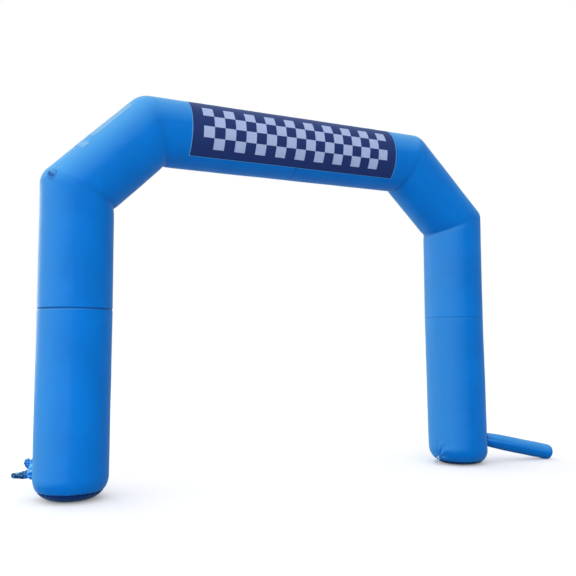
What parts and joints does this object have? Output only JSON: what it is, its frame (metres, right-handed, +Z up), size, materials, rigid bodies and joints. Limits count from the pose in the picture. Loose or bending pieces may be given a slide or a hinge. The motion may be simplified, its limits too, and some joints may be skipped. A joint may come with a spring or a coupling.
{
  "type": "inflatable arch",
  "caption": "Inflatable race arch of blown-up cloth tubes with angled shoulders, a chequered banner on the beam, a blower sleeve, a tied spare sleeve, guy points and a stake loop.",
  "frame": {"origin": "on the ground under the middle of the whole object's box, blower sleeve included; the arch's own middle, midway between the feet, is at x -0.425 m, y 0.001 m", "axes": "+X along the beam towards the leg with the blower sleeve, +Z up; -Y is the front, which carries the banner, and +Y the back, across the arch's narrowest extent"},
  "size_m": [7.2561, 0.8023, 4.55],
  "materials": {
    "blue_cloth": "coated nylon, satin",
    "base_cloth": "heavier coated cloth, satin",
    "banner_cloth": "printed polyester, matt",
    "pale_tape": "hook and loop tape, matt",
    "blue_webbing": "woven webbing, matt",
    "pale_webbing": "woven webbing, matt"
  },
  "bodies": {
    "root": {"banner": "banner_cloth", "base_left": "base_cloth", "base_right": "base_cloth", "beam_left": "blue_cloth", "beam_right": "blue_cloth", "blower_sleeve": "blue_cloth", "blower_sleeve_end": "blue_cloth", "guy_loop_left_front": "blue_webbing", "guy_loop_right_back": "blue_webbing", "guy_patch_left_front": "blue_cloth", "guy_patch_right_back": "blue_cloth", "leg_lower_left": "blue_cloth", "leg_lower_right": "blue_cloth", "leg_upper_left": "blue_cloth", "leg_upper_right": "blue_cloth", "shoulder_left": "blue_cloth", "shoulder_right": "blue_cloth", "sleeve_tie": "blue_webbing", "stake_loop_right": "pale_webbing", "tape_long": "pale_tape", "tape_short": "pale_tape", "tied_sleeve": "blue_cloth"}
  },
  "joints": []
}
